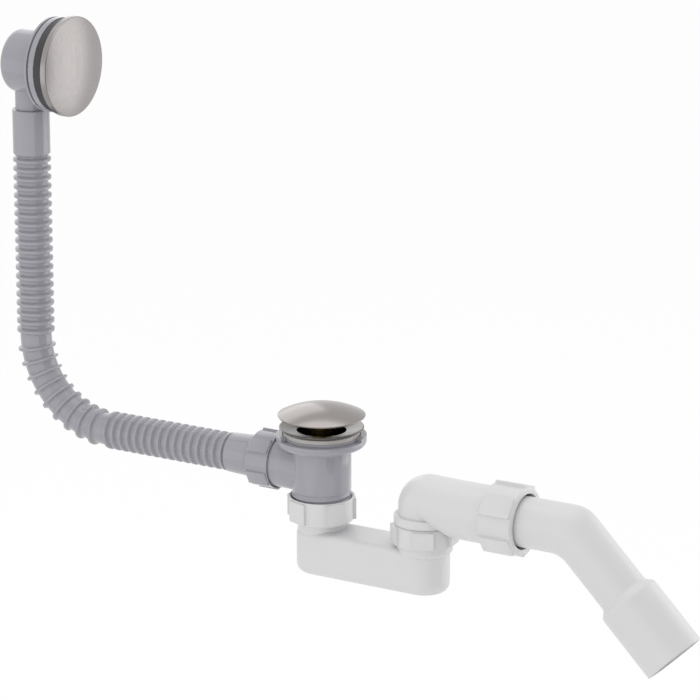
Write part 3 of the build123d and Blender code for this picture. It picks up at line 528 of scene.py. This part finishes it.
def lugged_nut(start, along, length, radius, thread, depth, mouth, lug_face, lug_width, turn, taper):
    """Grid of a lugged nut: a turned ring whose outside swells to flat lugs.

    A lug's flat lies lug_face from the axis, so its radius is lug_face / cos of the angle from the lug's
    middle. It comes back to the barrel by a smooth step at the lug's sides and a quarter round at its ends.
    The bore is the thread's up to the depth and the mouth's behind it, where the outside tapers.
    """
    pitch, first_lug = 2 * np.pi / LUGS, np.radians(turn)
    lug_edge, side_half = np.arctan(lug_width / 2 / lug_face), np.radians(0.6)
    edges = lug_edge + side_half * np.linspace(-1, 1, 5)
    sides = first_lug + pitch * np.arange(LUGS)[:, None] + np.concatenate([edges, -edges])
    angles = np.unique(np.concatenate([EVEN, sides.ravel() % (2 * np.pi)]))
    lug_start, lug_end, lug_round, lead_in, gap = 1.0, length - taper, 0.5, 0.9, 0.1
    outline = rounded(np.vstack([
        [(0, thread + lead_in, 0.2), (0, radius, 0.5), (lug_start - gap, radius, 0)],
        [(lug_start + lug_round * share, radius, 0) for share in (0.2, 0.6, 1.0)],
        [(lug_end - lug_round * share, radius, 0) for share in (1.0, 0.6, 0.2)],
        [(lug_end + gap, radius, 0.1 * taper), (length, radius - taper, 0.5)],
        [(length, mouth, 0.5), (depth, mouth, 0.1), (depth, thread, 0), (lead_in, thread, 0)],
    ]))
    from_middle = np.abs((angles - first_lug + pitch / 2) % pitch - pitch / 2)
    side_rise = smooth_step((lug_edge + side_half - from_middle) / (2 * side_half))
    from_end = np.minimum(outline[:, 0] - lug_start, lug_end - outline[:, 0]) / lug_round
    end_rise = np.sqrt(1 - (1 - np.clip(from_end, 0, 1)) ** 2) * np.isclose(outline[:, 1], radius)
    lug_height = lug_face / np.cos(np.minimum(from_middle, lug_edge)) - radius
    swell = end_rise[:, None] * side_rise * lug_height
    return turned(outline, start, along, angles) + swell[..., None] * around(along, angles)


hose_nut = lugged_nut(
    start=(-38.0, 0, branch_z), along=(-1, 0, 0), length=24.0, radius=22.4, thread=20.95, depth=17.9,
    mouth=17.4, lug_face=23.3, lug_width=13.0, turn=170, taper=4.5,
)
make_piece("hose_nut_moulding", "hose_nut", grey_polypropylene, hose_nut)
dress(black_rubber, "hose_seal")

# Overflow elbow: a closed grey cup behind the bath's end wall, with a ribbed flange and a spigot below.
# Moulded polypropylene; the hose's cuff is pushed over the spigot.
overflow_z, elbow_rear, elbow_floor, elbow_cup, elbow_bore = 268.0, -287.5, -284.5, 25.7, 22.7
flange_rear, groove_rear, groove_front, gasket_rear = -253.3, -251.1, -249.4, -244.4
wall_flange, flange_groove = 38.5, 36.0
elbow_corners = [
    (elbow_rear, 0, 0), (elbow_rear, elbow_cup, 5.5), (flange_rear, elbow_cup, 1.0),
    (flange_rear, wall_flange, 0.5), (groove_rear, wall_flange, 0.5), (groove_rear, flange_groove, 0.3),
    (groove_front, flange_groove, 0.3), (groove_front, wall_flange, 0.5), (gasket_rear, wall_flange, 0.5),
    (gasket_rear, elbow_bore, 0.4), (elbow_floor, elbow_bore, 0.5), (elbow_floor, 0, 0),
]
cup_shell = turned(rounded(elbow_corners), (0, 0, overflow_z), (1, 0, 0))
spigot_foot, spigot_top, spigot_bore, spigot_radius = 205.0, 250.0, 10.2, 12.6
spigot_outline = ring_outline(spigot_foot, spigot_top, spigot_bore, spigot_radius, (0.3, 0.6, 0, 0))
spigot = turned(spigot_outline, (hose_x, 0, 0))
make_piece("overflow_elbow_moulding", "overflow_elbow", grey_polypropylene, cup_shell, spigot)
dress(black_rubber, "spigot_seal")

# Overflow gasket: a thick black rubber ring between the elbow's flange and the bath wall.
# Moulded, with rounded edges, and squeezed when the strainer's screw is tightened.
gasket_front, wall_bore, wall_radius = -238.1, 24.0, 38.0
wall_gasket_outline = ring_outline(gasket_rear, gasket_front, wall_bore, wall_radius, (0.3, 0.7, 0.7, 0.3))
wall_gasket = turned(wall_gasket_outline, (0, 0, overflow_z), (1, 0, 0))
make_piece("overflow_gasket_ring", "overflow_gasket", black_rubber, wall_gasket)

# Strainer and screw: the plate with water holes that clamps the bath wall, and the screw in its middle.
# Moulded grey polypropylene and turned stainless steel; the screw is driven into the elbow.
dress(grey_polypropylene, "overflow_strainer")
dress(stainless_steel, "overflow_screw")

# Overflow cover: the brushed round dome that hides the strainer, with a skirt that water passes behind.
# Pressed brass under satin nickel plate, brushed upright and pushed onto the strainer.
nickel_wall = brushed_metal(
    "brushed_nickel_cover", "#9d9998", "#908c8b", rough=0.3, along=(0, 0, 1), spacing_mm=0.7,
)
cover_rim, skirt_edge, cover_radius, cover_rise, cover_wall = -231.3, -236.3, 40.5, 5.5, 1.2
outer_stop, inner_stop = 0.8, 1.5
cover_bore = cover_radius - cover_wall
cover_sphere, cover_half = dome(cover_radius, cover_rise)
cover_middle = (cover_rim + cover_rise - cover_sphere, 0)
cover_corners = np.vstack([
    arc(cover_middle, cover_sphere, 0, cover_half - outer_stop, count=40),
    [(cover_rim, cover_radius, 0.7), (skirt_edge, cover_radius, 0.4)],
    [(skirt_edge, cover_bore, 0.3), (cover_rim, cover_bore, 0.2)],
    arc(cover_middle, cover_sphere - cover_wall, cover_half - inner_stop, 0, count=24),
])
cover = turned(rounded(cover_corners), (0, 0, overflow_z), (1, 0, 0))
make_piece("overflow_cover_dome", "overflow_cap", nickel_wall, cover)

# Inlet nut: the white lugged nut that holds the trap's neck to the grey barrel over a flat seal.
# Moulded polypropylene, tightened by hand. Its grain is drawn at 0.9 mm, as on the grey pieces,
# and its white hardly drifts.
white_polypropylene = moulded_plastic(
    "white_polypropylene", "#d4d4d5", "#d1d1d2", rough=0.36, grain_mm=0.9, flow_mm=45,
)
inlet_nut = lugged_nut(
    start=(0, 0, -54.0), along=(0, 0, -1), length=20.0, radius=25.8, thread=24.0, depth=17.4,
    mouth=19.5, lug_face=26.8, lug_width=17.5, turn=-73, taper=1.4,
)
make_piece("inlet_nut_moulding", "inlet_nut", white_polypropylene, inlet_nut)
dress(black_rubber, "inlet_seal")

# Trap: a low rounded trough that holds the water seal, with a neck under the waste and a threaded riser.
# Moulded white polypropylene, welded along its length.
trap_reach, trap_radius, trap_foot, trap_top = 94.4, 20.0, -117.0, -80.0


def trough(outline, points=49):
    """Grid of the trough: each (height, radius) of the outline drawn as a slot round two centres on X."""
    half = np.linspace(-90, 90, points)
    angles = np.radians(np.concatenate([half, half + 180]))
    centre = np.repeat([trap_reach, 0.0], points)
    height, radius = outline.T[:, :, None]
    x = centre + radius * np.cos(angles)
    y = radius * np.sin(angles)
    return np.stack([x, y, np.broadcast_to(height, x.shape)], -1)


trap = trough(rounded([
    (trap_foot, 0, 0), (trap_foot, trap_radius, 9.5), (trap_top, trap_radius, 6.0), (trap_top, 0, 0),
]))
neck_foot, neck_radius, neck_bore = -86.0, 19.2, 16.2
neck_collar, neck_collar_foot, neck_top = 22.8, -71.1, -68.7
neck = turned(rounded([
    (neck_foot, neck_bore, 0), (neck_foot, neck_radius, 0), (neck_collar_foot, neck_radius, 0),
    (neck_collar_foot, neck_collar, 0.4), (neck_top, neck_collar, 0.4), (neck_top, neck_bore, 0.3),
]))
riser_foot, riser_root, riser_cone, riser_radius = -87.0, 18.2, -83.0, 22.2
riser_top, riser_seat, riser_seat_bore, riser_bore = -64.5, -73.0, 20.1, 16.4
riser_outline = rounded([
    (riser_foot, riser_bore, 0), (riser_foot, riser_root, 0), (riser_cone, riser_radius, 1.2),
    (riser_top, riser_radius, 0.4), (riser_top, riser_seat_bore, 0.3),
    (riser_seat, riser_seat_bore, 0), (riser_seat, riser_bore, 0),
])
riser = turned(riser_outline, (trap_reach, 0, 0))
make_piece("trap_moulding", "trap_body", white_polypropylene, neck, riser, capped=[trap])

# Riser nut: the white lugged nut on the riser, round the outlet elbow's leg.
# Moulded polypropylene; the outlet turns in it until it is tightened by hand.
riser_nut = lugged_nut(
    start=(trap_reach, 0, -76.8), along=(0, 0, 1), length=16.5, radius=24.6, thread=22.45, depth=14.7,
    mouth=20.1, lug_face=25.9, lug_width=17.5, turn=-64, taper=1.4,
)
make_piece("riser_nut_moulding", "riser_nut", white_polypropylene, riser_nut)
dress(black_rubber, "riser_seal")

# Outlet elbow: a leg that stands in the riser, a tight square bend and a run that widens to a socket.
# Moulded white polypropylene; under the bend it is cut flat, to clear the nut below.


def bent_pipe(rows, corner, first, turn, bend_at, angles=EVEN):
    """Grid of a pipe with one bend, from rows of (distance, radius, share of the turn).

    Distance counts from the corner, where the straight centre lines cross, and share is 0 before the bend,
    1 after it. A point at the offset u to the inner side runs straight, follows an arc of radius bend_at(u)
    and runs straight again; the arc starts and ends (u + bend_at(u)) * tan(turn / 2) from the corner.
    """
    distance, radius, share = np.asarray(rows, float).T[:, :, None]
    first = np.asarray(first, float)
    inner = np.cross(SIDEWAYS, first)
    offset = -radius * np.cos(angles)
    arc_radius = bend_at(offset)
    reach = (offset + arc_radius) * np.tan(turn / 2)
    lean = share * turn
    before = np.where(share > 0, -reach, np.minimum(distance, -reach)) + arc_radius * np.sin(lean)
    across = offset + arc_radius * (1 - np.cos(lean))
    after = np.where(share < 1, 0, np.maximum(distance - reach, 0))
    before, across = before + after * np.cos(turn), across + after * np.sin(turn)
    side = radius * np.sin(angles)
    in_plane = np.asarray(corner) + before[..., None] * first + across[..., None] * inner
    return in_plane + side[..., None] * SIDEWAYS


elbow_z, outlet_z, elbow_radius, elbow_inset, stop_foot = -42.4, -45.0, 21.0, 4.5, -60.0
run_start, socket_start, socket_end, socket_floor = trap_reach + elbow_inset, 124.0, 176.0, 131.0
socket_radius, socket_bore, turn_rows, run_rows = 23.0, 20.3, 17, 32
elbow_foot = stop_foot - elbow_z
run_x = np.linspace(run_start, socket_start, run_rows)
run_radius = np.interp(run_x, (run_start, socket_start), (elbow_radius, socket_radius))
socket_outline = rounded([
    (socket_start, socket_radius, 0), (socket_end, socket_radius, 0.5), (socket_end, socket_bore, 0.4),
    (socket_floor, socket_bore, 0),
])
upright = [(elbow_foot, 0, 0), (elbow_foot, elbow_radius, 0)]
upright += [(0, elbow_radius, share) for share in np.linspace(0, 1, turn_rows)]
level_run = [(x - trap_reach, radius, 1) for x, radius in zip(run_x, run_radius)]
level_run += [(x - trap_reach, radius, 1) for x, radius in socket_outline]
level_run += [(socket_floor - trap_reach, 0, 1)]
elbow = bent_pipe(
    [*upright, *level_run], (trap_reach, 0, elbow_z), UP, np.pi / 2,
    lambda offset: np.maximum(elbow_inset - offset, 0),
)

# Along the run the pipe sinks from the bend's height to the socket's.
run = elbow[len(upright):]
run[..., 2] += np.interp(run[..., 0], (run_start, socket_start), (0, outlet_z - elbow_z))

# The nut's corners pass within 28.3 mm of its axis, and there nothing hangs below the stop.
nut_sweep, sweep_edge, run_drop = 28.3, 0.8, 9.0
from_riser = np.hypot(elbow[..., 0] - trap_reach, elbow[..., 1])
past_nut = np.clip((from_riser - nut_sweep) / sweep_edge, 0, 1)
elbow[..., 2] = np.maximum(elbow[..., 2], stop_foot - run_drop * past_nut)
stop_top, stop_bore, stop_radius = -53.2, 18.0, 24.5
stop = turned(ring_outline(stop_foot, stop_top, stop_bore, stop_radius, (0, 0.5, 1.6, 0)), (trap_reach, 0, 0))
leg_foot, leg_top, leg_bore, leg_radius = -72.7, -58.0, 15.6, 19.8
leg = turned(ring_outline(leg_foot, leg_top, leg_bore, leg_radius, (0.3, 0.8, 0, 0)), (trap_reach, 0, 0))
make_piece("outlet_elbow_moulding", "outlet_elbow", white_polypropylene, elbow, stop, leg)

# Outlet nut: the white lugged nut on the socket, with a recess round the tail's pipe.
# Moulded polypropylene; it presses a flat seal on the pipe, which turns until the nut is tightened.
outlet_nut = lugged_nut(
    start=(155.5, 0, outlet_z), along=(1, 0, 0), length=28.8, radius=26.8, thread=23.25, depth=22.9,
    mouth=22.0, lug_face=28.2, lug_width=17.5, turn=161.4, taper=1.4,
)
make_piece("outlet_nut_moulding", "outlet_nut", white_polypropylene, outlet_nut)
dress(black_rubber, "outlet_seal")

# Tail bend: a pipe that turns in the socket, bends down and widens to the size of the drain.
# Extruded white polypropylene pipe, bent and belled warm.
pipe_radius, pipe_wall, end_radius, tail_turn, tail_curve = 20.0, 2.2, 25.0, np.pi / 4, 22.0
tail_corner, pipe_start = 226.0, 132.0
straight_start, cone_start, cone_end, tail_end = 42.0, 62.0, 67.0, 124.0
pipe_bore, end_bore = pipe_radius - pipe_wall, end_radius - pipe_wall
bell_outline = rounded([
    (straight_start, pipe_radius, 0), (cone_start, pipe_radius, 2.0), (cone_end, end_radius, 2.0),
    (tail_end, end_radius, 0.5), (tail_end, end_bore, 0.5), (cone_end, end_bore, 2.0),
    (cone_start, pipe_bore, 2.0), (straight_start, pipe_bore, 0),
])
bend_shares = np.linspace(0, 1, 15)
tail_rows = [
    *[(0, pipe_radius, share) for share in bend_shares],
    *[(distance, radius, 1) for distance, radius in bell_outline],
    *[(0, pipe_bore, share) for share in bend_shares[::-1]],
    (pipe_start - tail_corner, pipe_bore, 0),
    (pipe_start - tail_corner, pipe_radius, 0),
]
tail = bent_pipe(
    tail_rows, (tail_corner, 0, outlet_z), (1, 0, 0), tail_turn,
    lambda offset: np.full_like(offset, tail_curve),
)
make_piece("tail_bend_pipe", "tail_bend", white_polypropylene, tail)

# Studio, in metres: a white paper floor 0.35 below the lowest pipe, in a white room. A long softbox stands on
# the left, a strip on the right and a panel on the far side, with another panel above. A dark card in front
# on the right is seen only in reflections.
floor_drop, floor_half, floor_white = 0.35, 6.0, 0.94
view_turn = np.radians(30.73)
level_back = np.array([np.sin(view_turn), -np.cos(view_turn), 0])
level_right = np.array([np.cos(view_turn), np.sin(view_turn), 0])


def stage_sheet(name, material, middle, half, upward):
    """Flat sheet of the studio with its corners at middle, plus or minus half, plus or minus upward."""
    corners = [middle + a * half + b * upward for a, b in ((-1, -1), (1, -1), (1, 1), (-1, 1))]
    mesh = bpy.data.meshes.new(name)
    mesh.from_pydata(corners, [], [(0, 1, 2, 3)])
    mesh.materials.append(material)
    sheet = bpy.data.objects.new(name, mesh)
    bpy.context.scene.collection.objects.link(sheet)
    return sheet


def seen(tree):
    """Output that is 1 where the camera, a reflection or glass looks, and 0 for light on its way."""
    path = add(tree, "ShaderNodeLightPath").outputs
    looks = {0: path["Is Camera Ray"], 1: path["Is Glossy Ray"]}
    either = add(tree, "ShaderNodeMath", looks, operation="MAXIMUM")
    looks = {0: either.outputs[0], 1: path["Is Transmission Ray"]}
    return add(tree, "ShaderNodeMath", looks, operation="MAXIMUM").outputs[0]


# The floor is seen as nearly white paper, and what is left of it takes the object's shadow.
paper = bpy.data.materials.new("white_paper_floor")
paper.use_nodes = True
tree = paper.node_tree
tree.nodes.clear()
share = add(tree, "ShaderNodeMath", {0: seen(tree), 1: floor_white}, operation="MULTIPLY")
matt = add(tree, "ShaderNodeBsdfDiffuse", {"Color": linear("#f2f2f2")})
white = add(tree, "ShaderNodeEmission", {"Color": (1, 1, 1, 1), "Strength": 1.0})
both = add(tree, "ShaderNodeMixShader", {0: share.outputs[0], 1: matt.outputs[0], 2: white.outputs[0]})
add(tree, "ShaderNodeOutputMaterial", {"Surface": both.outputs[0]})
floor_middle = np.array((0, 0, cad_box[0][2] - floor_drop))
stage_sheet("floor", paper, floor_middle, floor_half * np.array((1, 0, 0)), floor_half * SIDEWAYS)

# The room is plain white where it is seen, and lights the object a little less than that.
room = bpy.data.worlds.new("white_room")
bpy.context.scene.world = room
room.use_nodes = True
tree = room.node_tree
tree.nodes.clear()
strength = add(tree, "ShaderNodeMapRange", {"Value": seen(tree), "To Min": 0.8, "To Max": 1.0})
glow = add(tree, "ShaderNodeBackground", {"Color": (1, 1, 1, 1), "Strength": strength.outputs["Result"]})
add(tree, "ShaderNodeOutputWorld", {"Surface": glow.outputs[0]})


def soft_light(name, turn, rise, distance, width, height, brightness, aim=0.06):
    """Area light, turn degrees right of the camera and rise degrees up, facing the axis at the height aim.

    Its brightness is the same for each part of its area, so a larger light gives more.
    """
    turn, rise = np.radians(turn), np.radians(rise)
    direction = np.cos(rise) * (np.cos(turn) * level_back + np.sin(turn) * level_right) + np.sin(rise) * UP
    lamp = bpy.data.lights.new(name, "AREA")
    lamp.shape = "RECTANGLE"
    lamp.size, lamp.size_y = width, height
    lamp.energy = brightness * np.pi * width * height
    holder = bpy.data.objects.new(name, lamp)
    bpy.context.scene.collection.objects.link(holder)
    holder.location = aim * UP + distance * direction
    holder.rotation_euler = Vector(direction).to_track_quat("Z", "Y").to_euler()


soft_light("left_softbox", turn=-41, rise=-4, distance=1.3, width=4.2, height=1.0, brightness=0.5)
soft_light("right_strip", turn=109, rise=0, distance=1.2, width=0.92, height=1.2, brightness=1.05)
soft_light("far_panel", turn=-152, rise=24, distance=1.6, width=1.5, height=1.1, brightness=0.7)
soft_light("top_panel", turn=180, rise=84, distance=1.8, width=1.8, height=1.6, brightness=1.0)

card = bpy.data.materials.new("dark_paper_card")
card.use_nodes = True
card.node_tree.nodes["Principled BSDF"].inputs["Base Color"].default_value = linear("#303030")
card.node_tree.nodes["Principled BSDF"].inputs["Roughness"].default_value = 0.9
card_turn, card_distance, card_half, card_foot, card_top = np.radians(51), 1.1, 0.71, -0.53, 0.6
card_middle = card_distance * (np.cos(card_turn) * level_back + np.sin(card_turn) * level_right)
card_along = np.sin(card_turn) * level_back - np.cos(card_turn) * level_right
dark_card = stage_sheet(
    "dark_card", card, card_middle + (card_foot + card_top) / 2 * UP, card_half * card_along,
    (card_top - card_foot) / 2 * UP,
)
dark_card.visible_camera = dark_card.visible_diffuse = dark_card.visible_shadow = False

# Camera: a long lens 3 m away at the photograph's turn and height, aimed at the middle of its frame.
# Its length makes the object as large in the picture as it is in the photograph, 700 pixels wide.
view_rise, view_distance, view_middle = np.radians(16.12), 3.0, np.array((0.0262, 0, 0.0696))
lens_pixels, photo_pixels = 3831, 700
lens = bpy.data.cameras.new("photograph")
lens.sensor_width = 36.0
lens.lens = lens.sensor_width * lens_pixels / photo_pixels
lens.clip_end = 50.0
camera = bpy.data.objects.new("photograph", lens)
bpy.context.scene.collection.objects.link(camera)
back = np.cos(view_rise) * level_back + np.sin(view_rise) * UP
camera.location = view_middle + view_distance * back
camera.rotation_euler = Vector(back).to_track_quat("Z", "Y").to_euler()
bpy.context.scene.camera = camera
bpy.context.scene.view_settings.view_transform = "Standard"
